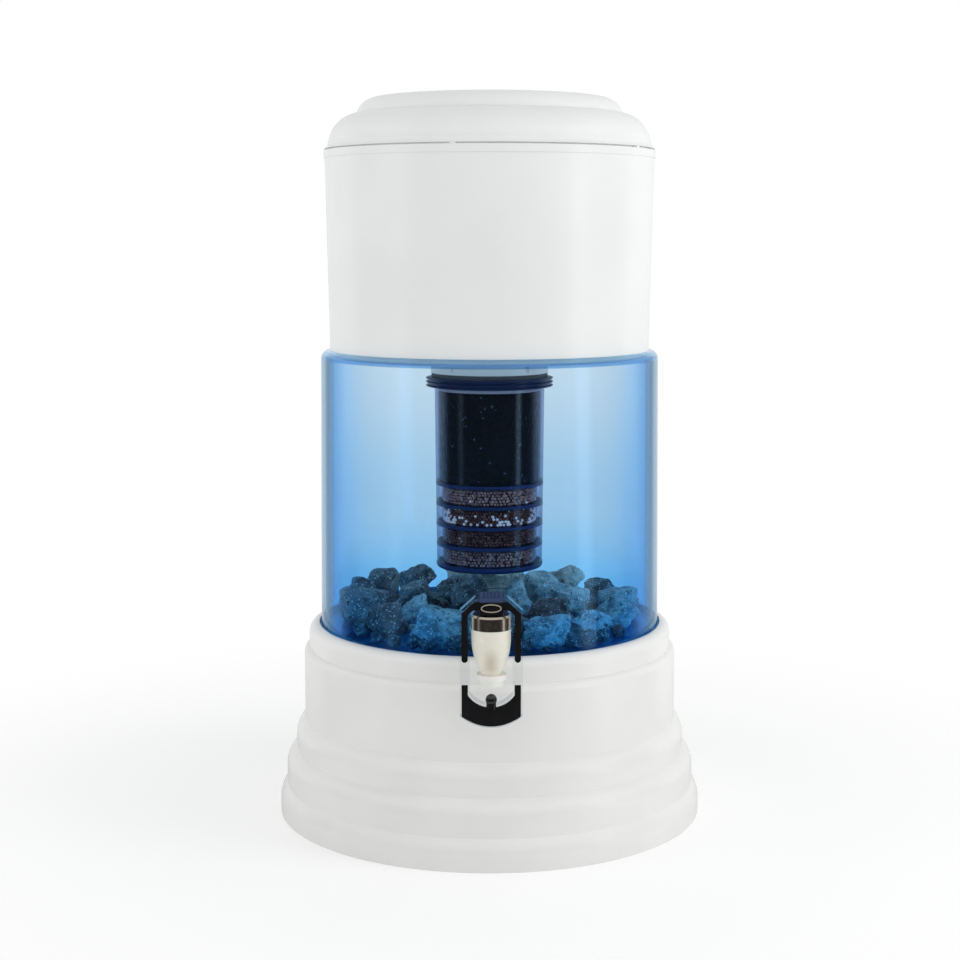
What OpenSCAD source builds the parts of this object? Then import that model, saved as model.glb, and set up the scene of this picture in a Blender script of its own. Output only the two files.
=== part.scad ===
// Gravity water filter with a push-back tap.
// Raw water stands in the white upper tank, seeps through a ceramic dome and a cartridge that hangs
// under it, drips over the stones in the blue lower tank and is drawn off at the tap.
// Millimetres, +Z up, the tap faces -Y. The origin is the centre of the ring the stand rests on.

/* [Lower tank] */
// Outer radius of the lower tank at its foot
tank_r = 119; // [114:1:126]
// How much narrower the lower tank is at its mouth
tank_draw = 2; // [0:0.1:3]
// Wall of the lower tank
tank_wall = 3; // [2:0.5:5]
// Thickness of the lower tank's floor
tank_floor = 4; // [3:0.5:6]
// Height of the lower tank from its underside to its mouth
tank_h = 197; // [190:1:220]
// Width of the ledge that reaches in from the wall to the mouth
ledge_w = 9.8; // [9:0.1:13]
// Thickness of the ledge round the mouth
ledge_t = 3; // [2:0.5:5]
// Outer rounding between the wall and the ledge
tank_shoulder = 6; // [3:0.5:6]
// Rounding between the wall and the floor, inside and outside
tank_fillet = 4; // [2:0.5:6]

/* [Stand] */
// Gap between the lower tank and the rim of the stand
rim_gap = 1.5; // [0.5:0.1:3]
// Radius of the rounded rim
rim_round = 7; // [4:0.5:9]
// Depth of the shelf below the top of the rim
shelf_depth = 6; // [3:0.5:10]
// Radius of the hole in the shelf
shelf_hole_r = 60; // [30:1:80]
// Wall of the stand
stand_wall = 3; // [2:0.5:4]
// Step out from the lip to the tall ring
tall_ring_step = 3.7; // [2:0.1:6]
// Step out from the tall ring to the ring under it
third_ring_step = 6.2; // [3:0.1:9]
// Step out to the second ring from the bottom
second_ring_step = 7.1; // [3:0.1:9]
// Step out to the foot ring
foot_ring_step = 4.8; // [3:0.1:9]
// Straight height of the foot ring
foot_ring_h = 8.6; // [6:0.1:16]
// Straight height of the second ring from the bottom
second_ring_h = 12.1; // [6:0.1:16]
// Straight height of the third ring from the bottom
third_ring_h = 9.3; // [5:0.1:15]
// Straight height of the tall ring
tall_ring_h = 46; // [30:0.5:60]
// Straight height of the lip
lip_h = 9.5; // [5:0.5:15]
// Height of each of the three large shoulders
shoulder_h = 12.5; // [8:0.1:18]
// Height of the small shoulder under the lip
lip_shoulder_h = 5; // [3:0.5:8]
// Number of ribs under the shelf
rib_count = 12; // [6:1:24]
// Depth of the ribs under the shelf
rib_depth = 12; // [6:1:20]

/* [Upper tank] */
// How far the foot of the upper tank's wall is set in from the side of the lower tank's mouth
upper_inset = 6.4; // [6.1:0.1:7.5]
// How much wider the upper tank is at its rim
upper_flare = 2.5; // [0:0.1:4]
// Wall and floor of the upper tank
upper_wall = 3; // [2:0.5:4]
// Height of the upper tank above the ledge
upper_h = 135.5; // [125:0.5:160]
// Depth of the spigot that enters the mouth
spigot_h = 5; // [3.5:0.5:8]
// Radial clearance of the spigot in the mouth
spigot_gap = 0.3; // [0.2:0.1:0.8]
// Height of the bead round the rim
bead_h = 5; // [3:0.5:8]
// How far the bead stands out
bead_out = 0.5; // [0.3:0.1:2]
// Outer radius of the well in the floor
well_r = 41; // [40:0.5:46]
// Depth of the well below the spigot
well_depth = 11; // [8:0.5:16]

/* [Lid] */
// How far the lid's edge is set in from the upper tank's bead
lid_inset = 0.2; // [0:0.1:1.5]
// Wall of the lid
lid_wall = 2.5; // [2:0.1:3]
// How far the lip round the lid's edge flares out
lid_lip_w = 2.9; // [1:0.1:4]
// Height of the lid's flared lip
lid_lip_h = 5; // [3:0.5:8]
// Height of the lid's shoulder from the edge to the crease
lid_shoulder_h = 24; // [20:0.5:26]
// Radius of the lid's shoulder
lid_shoulder_round = 22; // [21:0.1:26]
// Height of the raised top above the crease
lid_top_h = 10.5; // [6:0.5:12]
// Radius of the raised top's rounded edge
lid_top_round = 14; // [12:0.5:16]
// How far the crease round the raised top lies in from the lid's edge
lid_crease_inset = 21.9; // [21.5:0.1:24]
// Height of the lugs that hold the lid off the rim
lug_h = 1; // [0.5:0.1:2]
// Width of each lug
lug_w = 3.8; // [2:0.1:8]
// Number of lugs
lug_count = 5; // [3:1:8]
// Depth of the skirt that centres the lid
skirt_h = 8; // [5:0.5:12]
// Clearance between the skirt and the upper tank
skirt_gap = 0.6; // [0.3:0.1:1.5]

/* [Cartridge] */
// Outer radius of the casing at its upper end
casing_r = 38.5; // [37:0.1:39]
// How much narrower the casing is at its lower end
casing_taper = 1.3; // [0:0.1:2]
// Wall of the casing's tube
casing_wall = 2; // [1.5:0.1:3]
// Wall of the clear rings round the layers of balls
media_ring_wall = 4; // [2:0.1:6]
// Space under the cartridge, down to the lower tank's floor
cartridge_clearance = 39.8; // [38:0.1:60]
// Outer radius of the collar's ribs
collar_r = 44.3; // [42:0.1:46]
// Height of the collar's ribbed band
collar_h = 6.8; // [6:0.1:9]
// Number of ribs round the collar
collar_ribs = 3; // [2:1:4]
// Thickness of the gasket between the cartridge and the well
gasket_h = 3; // [2:0.5:4]
// Thickness of each perforated disc
separator_h = 2.3; // [1:0.1:3]
// Height of each of the four layers of balls
layer_h = 12; // [9:0.5:14]
// Height of the bottom cap
cap_h = 4; // [3:0.5:7]
// Thickness of the felt pad over the carbon
pad_h = 6; // [3:0.5:8]

/* [Ceramic dome] */
// Outer radius of the dome
dome_r = 34; // [28:0.5:34.5]
// Height of the dome's straight side
dome_side = 45; // [30:1:60]
// Wall of the dome
dome_wall = 7; // [5:0.5:9]
// Outer radius of the hollow stem under the dome
dome_stem_r = 6; // [5:0.5:7]
// Bore radius of the hollow stem
dome_stem_bore_r = 3; // [2:0.5:3.5]

/* [Tap] */
// Distance of the valve's axis in front of the lower tank
valve_reach = 48; // [44:0.5:56]
// Height of the shank above the underside of the lower tank
shank_rise = 22; // [20:0.5:24]
// Radius of the shank
shank_r = 7.9; // [7:0.1:8.5]
// Radius of the water way through the shank
water_way_r = 4.5; // [3:0.1:5]
// Radius of the tap body at its top
bell_r = 12.3; // [11.5:0.1:12.5]
// Radius of the spout
spout_r = 7.7; // [6:0.1:8.5]
// Radius of the outlet bore
outlet_r = 4.6; // [3:0.1:4.8]
// Radius of the bonnet
bonnet_r = 12.6; // [12.4:0.1:12.9]
// Height of the bonnet
bonnet_h = 8.9; // [7:0.1:10]
// Radius of the valve stem
stem_r = 2.5; // [2:0.1:3]
// Radius of the lever's pin
pin_r = 1.2; // [0.8:0.1:1.5]
// Running clearance of the stem in the bonnet and of the pin in the stem
running_gap = 0.05; // [0.02:0.01:0.1]
// Wire diameter of the valve spring
wire_d = 0.8; // [0.6:0.1:1]
// Turns of the valve spring
spring_turns = 6; // [4:1:8]

/* [Lever] */
// Overall width of the lever
lever_w = 38.8; // [38:0.1:42]
// Width of the window round the tap body
window_w = 26.6; // [26.2:0.1:28]
// Thickness of the clear lever from front to back
lever_t = 8; // [6:0.5:10]
// Thickness of the black inlays
trim_t = 1.2; // [0.8:0.1:2]
// Clear border left round the inlays
trim_border = 1.1; // [0.5:0.1:1.5]
// Gap between the lever's heel and the bonnet
heel_gap = 0.3; // [0.2:0.05:0.4]
// Width of the black hub
hub_w = 14.2; // [12:0.1:16]
// Height of the black hub
hub_h = 11.2; // [10.8:0.1:13]
// Depth of the black hub from front to back
hub_t = 15.5; // [14:0.5:18]
// Height of the tongue above the hub
tongue_h = 5.3; // [4.5:0.1:9]
// Width of the tongue
tongue_w = 20; // [16:0.5:22]
// Number of ridges that the thumb meets on the tongue
ridge_count = 6; // [4:1:8]

/* [Mineral stones] */
// Mean radius of a stone
stone_r = 18.5; // [14:0.5:20]
// Height of the tallest stone
stone_h = 33; // [24:1:36]

/* [Hidden] */
$fn = 96;
eps = 0.01;
over = 1;
wall_fn = 480;

// Stand: radii from the rim outwards, heights from the floor upwards
rim_r = tank_r + rim_gap;
lip_r = rim_r + rim_round;
tall_ring_r = lip_r + tall_ring_step;
third_ring_r = tall_ring_r + third_ring_step;
second_ring_r = third_ring_r + second_ring_step;
foot_ring_r = second_ring_r + foot_ring_step;
second_ring_z = foot_ring_h + shoulder_h;
third_ring_z = second_ring_z + second_ring_h + shoulder_h;
tall_ring_z = third_ring_z + third_ring_h + shoulder_h;
lip_z = tall_ring_z + tall_ring_h + lip_shoulder_h;
stand_h = lip_z + lip_h + rim_round;
shelf_z = stand_h - shelf_depth;

// Lower tank
floor_z = shelf_z + tank_floor;
mouth_z = shelf_z + tank_h;
tank_inner_r = tank_r - tank_wall;
tank_top_r = tank_r - tank_draw;
mouth_r = tank_top_r - ledge_w;

// Upper tank
upper_r = tank_top_r - upper_inset;
spigot_r = mouth_r - spigot_gap;
spigot_z = mouth_z - spigot_h;
well_z = spigot_z - well_depth;
upper_floor_z = spigot_z + upper_wall;
well_floor_z = well_z + upper_wall;
upper_rim_z = mouth_z + upper_h;
rim_inner_r = upper_r + upper_flare - upper_wall;

// Lid
lid_r = upper_r + upper_flare + bead_out - lid_inset;
lid_body_r = lid_r - lid_lip_w;
lid_flat_r = lid_r - lid_crease_inset - lid_top_round;
lid_z = upper_rim_z + lug_h;
lid_crease_z = lid_z + lid_shoulder_h;
lid_top_z = lid_crease_z + lid_top_h;
lug_turn = -12.3;
skirt_t = 2;

// Cartridge, from the well downwards
collar_top_z = well_z - gasket_h;
casing_top_z = collar_top_z - collar_h / 2;
layer_count = 4;
layer_pitch = layer_h + separator_h;
media_z = floor_z + cartridge_clearance + cap_h;
carbon_z = media_z + layer_count * layer_pitch;
stack_h = casing_top_z - media_z;
media_gap = 0.2;
stem_hole_gap = 0.3;
socket_r = 10;
socket_h = collar_h / 2 + pad_h;
carbon_top_z = casing_top_z - pad_h;

// Ceramic dome
dome_gasket_h = 2;
dome_base_z = well_floor_z + dome_gasket_h;
dome_base_h = 5;
dome_base_r = well_r - upper_wall - 1.5;
dome_z = dome_base_z + dome_base_h;

// Tap, along the valve's axis
valve_y = -tank_r - valve_reach;
shank_z = shelf_z + shank_rise;
bell_rise = 13.3;
bell_straight_h = 5.5;
bell_drop = 15.4;
spout_flange_t = 3.4;
spout_drop = 22.6;
seat_drop = 6;
bell_top_z = shank_z + bell_rise;
bell_straight_z = bell_top_z - bell_straight_h;
bell_foot_z = shank_z - bell_drop;
bell_foot_r = 6.2;
spout_flange_r = 9.3;
spout_flange_z = bell_foot_z - spout_flange_t;
spout_z = shank_z - spout_drop;
seat_z = shank_z - seat_drop;
chamber_r = 7.4;
bonnet_top_z = bell_top_z + bonnet_h;
bonnet_plug_h = 4.5;
bonnet_roof_t = 3.5;
spring_top_z = bonnet_top_z - bonnet_roof_t;
spring_pocket_r = 5.2;
spring_r = 4;
cup_h = 6.5;
cup_r = 6.3;
stem_collar_z = seat_z + cup_h;
stem_collar_h = 1.5;
stem_collar_r = 4.9;
shank_inside = 16;
shank_end_y = -tank_inner_r + shank_inside;
hole_gap = 0.3;
flange_r = 12;
flange_t = 3.5;
washer_t = 3.5;
nut_h = 8;
nut_across_flats = 24;

// Lever: its heel is round about the hinge axis, slides on the bonnet and lifts the pin, so the
// lever swings about the point over the heel at the pin's height
heel_r = 4.7;
heel_reach = 7;
nose_t = 2;
heel_y = valve_y - heel_reach;
hub_z = bonnet_top_z + heel_gap;
hub_top_z = hub_z + hub_h;
hub_front_y = heel_y - nose_t;
pin_z = hub_z + heel_r;
lever_swing = 14;
pin_play = heel_reach * (1 - cos(lever_swing)) + running_gap;
lever_reach = 6.3;
lever_drop = 75.6;
lever_toe_h = 7.3;
arch_rise = 2.6;
shoulder_rise = 2.6;
plate_edge_rise = 14.2;
upper_trim_drop = 34.1;
lower_trim_drop = 48.4;
lever_front_y = valve_y - lever_reach;
lever_bottom_z = pin_z - lever_drop;
lever_side_z = lever_bottom_z + lever_toe_h;
arch_z = bonnet_top_z + arch_rise;
arch_round = 5;
shoulder_z = hub_z + shoulder_rise;
tongue_z = hub_top_z;
lever_top_z = tongue_z + tongue_h;
plate_edge_z = lever_bottom_z + plate_edge_rise;
plate_edge_round = 16.3;
upper_trim_z = pin_z - upper_trim_drop;
lower_trim_z = pin_z - lower_trim_drop;

// Outer radius of the lower tank, which narrows towards its mouth
function tank_radius(z) = tank_r - tank_draw * (z - shelf_z) / tank_h;
// Underside of a layer of balls, counted from the bottom
function layer_z(k) = media_z + k * layer_pitch;
// Outer radius of the cartridge, which narrows towards its lower end
function casing_radius(z) = casing_r - casing_taper * (casing_top_z - z) / stack_h;
// Radius of an arc that leaves a straight side smoothly and steps in by step over a length of run
function arc_radius(run, step) = (run * run + step * step) / (2 * step);

// ---------------------------------------------------------------- stand

// Straight ring that ends in a shoulder, rounded from the ring's side to the next ring's foot
module ring_outline(r, z, h, next_r, next_z) {
    shoulder_z = z + h;
    rise = next_z - shoulder_z;
    round_r = arc_radius(rise, r - next_r);
    overlap = min(z, eps);
    translate([0, z - overlap])
        square([r, h + overlap]);
    translate([0, shoulder_z])
        square([r - round_r, rise]);
    intersection() {
        translate([r - round_r, shoulder_z])
            circle(r = round_r);
        translate([0, shoulder_z])
            square([r, rise + eps]);
    }
}

// Half section of the stand, solid, drawn in from its true outside by inset
module stand_outline(inset) {
    ring_outline(foot_ring_r - inset, 0, foot_ring_h, second_ring_r - inset, second_ring_z);
    ring_outline(second_ring_r - inset, second_ring_z, second_ring_h, third_ring_r - inset, third_ring_z);
    ring_outline(third_ring_r - inset, third_ring_z, third_ring_h, tall_ring_r - inset, tall_ring_z);
    ring_outline(tall_ring_r - inset, tall_ring_z, tall_ring_h, lip_r - inset, lip_z);
    translate([0, lip_z - eps])
        square([lip_r - inset, lip_h + eps]);
    translate([0, lip_z + lip_h])
        square([rim_r - inset, rim_round]);
    intersection() {
        translate([rim_r - inset, lip_z + lip_h])
            circle(r = rim_round);
        translate([0, lip_z + lip_h])
            square([lip_r, rim_round]);
    }
}

module stand() {
    shelf_under_z = shelf_z - stand_wall;
    color("white") {
        rotate_extrude()
            difference() {
                stand_outline(0);
                translate([0, shelf_z])
                    square([rim_r, shelf_depth + over]);
                intersection() {
                    stand_outline(stand_wall);
                    square([foot_ring_r, shelf_under_z]);
                }
                translate([0, -over])
                    square([foot_ring_r - stand_wall, over]);
                translate([0, -over])
                    square([shelf_hole_r, stand_h]);
            }
        for (k = [0:rib_count - 1])
            rotate([0, 0, (k + 0.5) * 360 / rib_count])
                translate([shelf_hole_r, -stand_wall / 2, shelf_under_z - rib_depth])
                    cube([lip_r - stand_wall / 2 - shelf_hole_r, stand_wall, rib_depth + over]);
    }
}

// ---------------------------------------------------------------- lower tank

// Half section of the lower tank between two heights, solid, drawn in from its outside by inset
module tank_outline(inset, low_z, high_z, low_round, high_round) {
    low_r = tank_radius(low_z + low_round) - inset;
    high_r = tank_radius(high_z - high_round) - inset;
    translate([0, low_z])
        square([low_r - low_round, low_round]);
    intersection() {
        translate([low_r - low_round, low_z + low_round])
            circle(r = low_round);
        translate([0, low_z])
            square([low_r, low_round]);
    }
    polygon([
        [0, low_z + low_round], [low_r, low_z + low_round],
        [high_r, high_z - high_round], [0, high_z - high_round]
    ]);
    intersection() {
        translate([high_r - high_round, high_z - high_round])
            circle(r = high_round);
        translate([0, high_z - high_round])
            square([high_r, high_round]);
    }
    translate([0, high_z - high_round])
        square([high_r - high_round, high_round]);
}

module lower_tank() {
    color("deepskyblue", 0.5)
        difference() {
            rotate_extrude()
                difference() {
                    tank_outline(0, shelf_z, mouth_z, tank_fillet, tank_shoulder);
                    tank_outline(tank_wall, floor_z, mouth_z - ledge_t, tank_fillet, tank_fillet);
                    translate([0, mouth_z - ledge_t - over])
                        square([mouth_r, ledge_t + 2 * over]);
                }
            along_shank(-tank_r - over)
                cylinder(r = shank_r + hole_gap, h = tank_wall + tank_draw + 2 * over);
        }
}

// Cone of the lower tank's wall, drawn in from its outside by inset
module tank_cone(inset) {
    translate([0, 0, shelf_z])
        cylinder(r1 = tank_r - inset, r2 = tank_top_r - inset, h = tank_h, $fn = wall_fn);
}

// Moves a shape drawn along +Z onto the shank's axis, starting at y
module along_shank(y) {
    translate([0, y, shank_z])
        rotate([-90, 0, 0])
            children();
}

// ---------------------------------------------------------------- stones

// A rough stone: convex, flat under it, standing on z = 0
module stone(r, h, seed) {
    mid = rands(0.78, 1, 8, seed);
    top = rands(0.5, 0.78, 6, seed + 1);
    lift = rands(-0.12, 0.12, 14, seed + 2);
    foot = [for (k = [0:6]) [0.62 * r * cos(k * 360 / 7 + seed), 0.62 * r * sin(k * 360 / 7 + seed), 0]];
    belt = [for (k = [0:7]) [
        r * mid[k] * cos(k * 45 + seed), r * mid[k] * sin(k * 45 + seed), h * (0.45 + lift[k])]];
    crown = [for (k = [0:5]) [
        r * top[k] * cos(k * 60 + seed), r * top[k] * sin(k * 60 + seed), h * (0.88 + lift[8 + k])]];
    hull()
        polyhedron_points(concat(foot, belt, crown));
}

// A tiny tetrahedron at every point, for hull() to span
module polyhedron_points(points) {
    s = 0.02;
    for (p = points)
        translate(p)
            cube([s, s, s]);
}

// Ring of stones, one place in it left out where the tap's nut is
module stone_ring(count, ring_r, turn, r, seed, gap_at) {
    size = rands(0.86, 1, count, seed);
    height = rands(0.62, 1, count, seed + 7);
    for (k = [0:count - 1])
        if (k != gap_at)
            rotate([0, 0, turn + k * 360 / count])
                translate([ring_r, 0, floor_z])
                    stone(r * size[k], stone_h * height[k], seed + 11 * k);
}

module mineral_stones() {
    outer_ring_r = tank_inner_r - stone_r - 0.7;
    inner_ring_r = outer_ring_r - 2.1 * stone_r;
    core_stone_r = (inner_ring_r - 1.1 * stone_r) / 2.2;
    color("steelblue") {
        stone_ring(15, outer_ring_r, -90, stone_r, 21, 0);
        stone_ring(9, inner_ring_r, -78, stone_r, 55, -1);
        stone_ring(3, 1.2 * core_stone_r, 20, core_stone_r, 90, -1);
    }
}

// ---------------------------------------------------------------- upper tank

module upper_tank_outline() {
    top_r = upper_r + upper_flare;
    difference() {
        union() {
            polygon([[0, mouth_z], [upper_r, mouth_z], [top_r, upper_rim_z], [0, upper_rim_z]]);
            translate([0, upper_rim_z - bead_h])
                square([top_r + bead_out, bead_h]);
            translate([0, spigot_z])
                square([spigot_r, spigot_h + eps]);
            translate([0, well_z])
                square([well_r, well_depth + eps]);
        }
        polygon([
            [0, upper_floor_z], [spigot_r - upper_wall, upper_floor_z],
            [spigot_r - upper_wall, mouth_z + upper_wall],
            [upper_r - upper_wall, mouth_z + 2 * upper_wall],
            [rim_inner_r, upper_rim_z + eps], [0, upper_rim_z + eps]
        ]);
        translate([0, well_floor_z])
            square([well_r - upper_wall, well_depth + over]);
        translate([0, well_z - over])
            square([dome_stem_r + stem_hole_gap, upper_wall + 2 * over]);
    }
}

module upper_tank() {
    rib_t = 2;
    color("white") {
        rotate_extrude()
            upper_tank_outline();
        for (a = [-140, -40, 40, 140])
            rotate([0, 0, a])
                translate([-rib_t / 2, well_r - 1, well_z + 2])
                    cube([rib_t, 3, well_depth - 2 + over]);
    }
}

// ---------------------------------------------------------------- lid

// Half section of the lid, solid, drawn in by inset
module lid_outline(inset) {
    shoulder_centre_r = lid_body_r - lid_shoulder_round;
    shoulder_centre_z = lid_crease_z - sqrt(
        pow(lid_shoulder_round, 2) - pow(lid_flat_r + lid_top_round - shoulder_centre_r, 2));
    intersection() {
        translate([shoulder_centre_r, shoulder_centre_z])
            circle(r = lid_shoulder_round - inset);
        translate([0, lid_z])
            square([lid_r, lid_shoulder_h - inset]);
    }
    translate([0, lid_z])
        square([shoulder_centre_r, lid_shoulder_h - inset]);
    intersection() {
        translate([lid_flat_r, lid_top_z - lid_top_round])
            circle(r = lid_top_round - inset);
        translate([0, lid_z])
            square([lid_r, lid_top_z - lid_z]);
    }
    translate([0, lid_z])
        square([lid_flat_r, lid_top_z - lid_z - inset]);
}

// Lip round the lid's edge, flared out along a hollow arc
module lid_lip_outline() {
    round_r = arc_radius(lid_lip_h, lid_lip_w);
    difference() {
        translate([lid_body_r - 1, lid_z])
            square([lid_lip_w + 1, lid_lip_h]);
        translate([lid_body_r + round_r, lid_z + lid_lip_h])
            circle(r = round_r);
    }
}

module lid() {
    skirt_r = rim_inner_r - skirt_gap;
    color("white") {
        rotate_extrude() {
            difference() {
                lid_outline(0);
                lid_outline(lid_wall);
            }
            lid_lip_outline();
            translate([skirt_r - skirt_t, lid_z])
                square([lid_body_r - skirt_r + skirt_t, lid_wall]);
            translate([skirt_r - skirt_t, upper_rim_z - skirt_h])
                square([skirt_t, skirt_h + lug_h + lid_wall]);
        }
        for (k = [0:lug_count - 1])
            rotate([0, 0, -90 + lug_turn + k * 360 / lug_count])
                translate([rim_inner_r + 0.4, -lug_w / 2, upper_rim_z])
                    cube([lid_r - rim_inner_r - 1.2, lug_w, lug_h + 0.5]);
    }
}

// ---------------------------------------------------------------- ceramic dome

module ceramic_dome() {
    color("seashell")
        difference() {
            union() {
                translate([0, 0, dome_z])
                    cylinder(r = dome_r, h = dome_side);
                translate([0, 0, dome_z + dome_side])
                    sphere(r = dome_r);
            }
            translate([0, 0, dome_z + dome_side])
                sphere(r = dome_r - dome_wall);
            translate([0, 0, dome_z - dome_r])
                cylinder(r = dome_r + over, h = dome_r);
            translate([0, 0, dome_z - over])
                cylinder(r = dome_r - dome_wall, h = dome_side + over);
        }
}

module dome_base() {
    stem_end_z = casing_top_z - 2;
    color("royalblue")
        rotate_extrude()
            difference() {
                union() {
                    translate([0, dome_base_z])
                        square([dome_base_r, dome_base_h]);
                    translate([0, stem_end_z])
                        square([dome_stem_r, dome_base_z - stem_end_z + eps]);
                }
                translate([0, stem_end_z - over])
                    square([dome_stem_bore_r, dome_base_z + dome_base_h - stem_end_z + 2 * over]);
            }
}

module dome_gasket() {
    color("dimgray")
        ring(dome_base_r - 2, dome_stem_r + 4, well_floor_z, dome_gasket_h);
}

// Flat ring between two radii
module ring(outer_r, inner_r, z, h) {
    translate([0, 0, z])
        difference() {
            cylinder(r = outer_r, h = h);
            translate([0, 0, -over])
                cylinder(r = inner_r, h = h + 2 * over);
        }
}

// ---------------------------------------------------------------- cartridge

module cartridge_gasket() {
    color("midnightblue")
        ring(well_r - 0.5, dome_stem_r + 2, collar_top_z, gasket_h);
}

module cartridge_cover() {
    rib_h = 0.72 * collar_h / collar_ribs;
    rib_pitch = (collar_h - rib_h) / (collar_ribs - 1);
    groove_depth = 1.6;
    color("midnightblue")
        rotate_extrude()
            difference() {
                union() {
                    translate([0, collar_top_z - collar_h])
                        square([collar_r - groove_depth, collar_h]);
                    for (k = [0:collar_ribs - 1])
                        translate([collar_r, collar_top_z - collar_h + k * rib_pitch])
                            polygon([
                                [-2 * groove_depth, 0], [-groove_depth, 0], [0, 0.3 * rib_h],
                                [0, 0.7 * rib_h], [-groove_depth, rib_h], [-2 * groove_depth, rib_h]
                            ]);
                    translate([0, collar_top_z - collar_h / 2 - pad_h])
                        square([socket_r, socket_h]);
                }
                translate([socket_r, collar_top_z - collar_h - over])
                    square([casing_r + running_gap - socket_r, collar_h / 2 + over]);
                square([dome_stem_r + running_gap, mouth_z]);
            }
}

// Tapered plug that fills the casing between two heights, short of its wall by gap
module casing_fill(z0, z1, gap) {
    translate([0, 0, z0])
        cylinder(r1 = casing_radius(z0) - gap, r2 = casing_radius(z1) - gap, h = z1 - z0);
}

module cartridge_casing() {
    color("slateblue", 0.35)
        difference() {
            casing_fill(carbon_z, casing_top_z, 0);
            casing_fill(carbon_z - over, casing_top_z + over, casing_wall);
        }
}

// Clear ring round each layer of balls, stacked between the separators
module media_rings() {
    color("slateblue", 0.35)
        for (k = [0:layer_count - 1])
            difference() {
                casing_fill(layer_z(k), layer_z(k) + layer_h, 0);
                casing_fill(layer_z(k) - over, layer_z(k) + layer_h + over, media_ring_wall);
            }
}

module inlet_pad() {
    color("black")
        difference() {
            casing_fill(carbon_top_z, casing_top_z, casing_wall + media_gap);
            translate([0, 0, carbon_top_z - over])
                cylinder(r = socket_r + media_gap, h = pad_h + 2 * over);
        }
}

module carbon_bed() {
    color("black")
        casing_fill(carbon_z, carbon_top_z, casing_wall + media_gap);
}

// Slotted disc on top of each ring, as wide as the ring
module media_separators() {
    slot_w = 1.6;
    slot_l = 20;
    color("navy")
        for (k = [1:layer_count])
            difference() {
                casing_fill(layer_z(k) - separator_h, layer_z(k), 0);
                for (a = [0:45:315])
                    rotate([0, 0, a])
                        translate([8, -slot_w / 2, layer_z(k) - separator_h - over])
                            cube([slot_l, slot_w, separator_h + 2 * over]);
            }
}

// One layer of balls, counted from the bottom
module media_layer(k) {
    casing_fill(layer_z(k), layer_z(k) + layer_h, media_ring_wall + media_gap);
}

module mineral_bed_upper() {
    color("rosybrown")
        media_layer(3);
}

module silver_bead_bed() {
    color("lightgray")
        media_layer(2);
}

module mineral_bed_middle() {
    color("brown")
        media_layer(1);
}

module mineral_bed_lower() {
    color("rosybrown")
        media_layer(0);
}

module cartridge_cap() {
    cap_lip = 0.3;
    cap_r = casing_radius(media_z) + cap_lip;
    cap_z = media_z - cap_h;
    round_r = 2.5;
    slot_w = 2;
    color("midnightblue")
        difference() {
            rotate_extrude() {
                translate([0, cap_z + round_r])
                    square([cap_r, cap_h - round_r]);
                translate([0, cap_z])
                    square([cap_r - round_r, round_r]);
                intersection() {
                    translate([cap_r - round_r, cap_z + round_r])
                        circle(r = round_r);
                    translate([0, cap_z])
                        square([cap_r, round_r]);
                }
            }
            for (a = [0:30:330])
                rotate([0, 0, a])
                    translate([12, -slot_w / 2, cap_z - over])
                        cube([16, slot_w, cap_h + 2 * over]);
        }
}

// ---------------------------------------------------------------- tap

module bell_outline() {
    round_r = arc_radius(bell_straight_z - bell_foot_z, bell_r - bell_foot_r);
    translate([0, bell_straight_z])
        square([bell_r, bell_top_z - bell_straight_z]);
    intersection() {
        translate([bell_r - round_r, bell_straight_z])
            circle(r = round_r);
        translate([0, bell_foot_z])
            square([bell_r, bell_straight_z - bell_foot_z + eps]);
    }
    translate([0, spout_flange_z])
        square([spout_flange_r, bell_foot_z - spout_flange_z + eps]);
    translate([0, spout_z])
        square([spout_r, spout_flange_z - spout_z + eps]);
}

module tap_body() {
    flange_y = -tank_r - washer_t - flange_t;
    color("ivory")
        difference() {
            union() {
                translate([0, valve_y, 0])
                    rotate_extrude()
                        bell_outline();
                along_shank(valve_y)
                    cylinder(r = shank_r, h = shank_end_y - valve_y);
                along_shank(flange_y)
                    cylinder(r = flange_r, h = flange_t);
            }
            translate([0, valve_y, seat_z])
                cylinder(r = chamber_r, h = bell_top_z - seat_z + over);
            translate([0, valve_y, bell_top_z - bonnet_plug_h])
                cylinder(r = chamber_r + 1.2, h = bonnet_plug_h + over);
            translate([0, valve_y, spout_z - over])
                cylinder(r = outlet_r, h = seat_z - spout_z + 2 * over);
            along_shank(valve_y)
                cylinder(r = water_way_r, h = shank_end_y - valve_y + over);
        }
}

module tap_bonnet() {
    chamfer = 1.2;
    plug_r = chamber_r + 1.2;
    color("silver")
        translate([0, valve_y, 0])
            rotate_extrude()
                difference() {
                    union() {
                        polygon([
                            [0, bell_top_z], [bonnet_r, bell_top_z], [bonnet_r, bonnet_top_z - chamfer],
                            [bonnet_r - chamfer, bonnet_top_z], [0, bonnet_top_z]
                        ]);
                        translate([0, bell_top_z - bonnet_plug_h])
                            square([plug_r, bonnet_plug_h + eps]);
                    }
                    translate([0, bell_top_z - bonnet_plug_h - over])
                        square([spring_pocket_r, spring_top_z - bell_top_z + bonnet_plug_h + over]);
                    translate([0, spring_top_z - over])
                        square([stem_r + running_gap, bonnet_top_z - spring_top_z + 2 * over]);
                }
}

// Washer outside the tank: flat against the tap's flange, hollowed to the tank's wall
module tap_washer_outer() {
    color("dimgray")
        difference() {
            along_shank(-tank_r - washer_t)
                cylinder(r = flange_r, h = washer_t + 2 * over);
            along_shank(-tank_r - washer_t - over)
                cylinder(r = shank_r + hole_gap, h = washer_t + 4 * over);
            tank_cone(0);
        }
}

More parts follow.
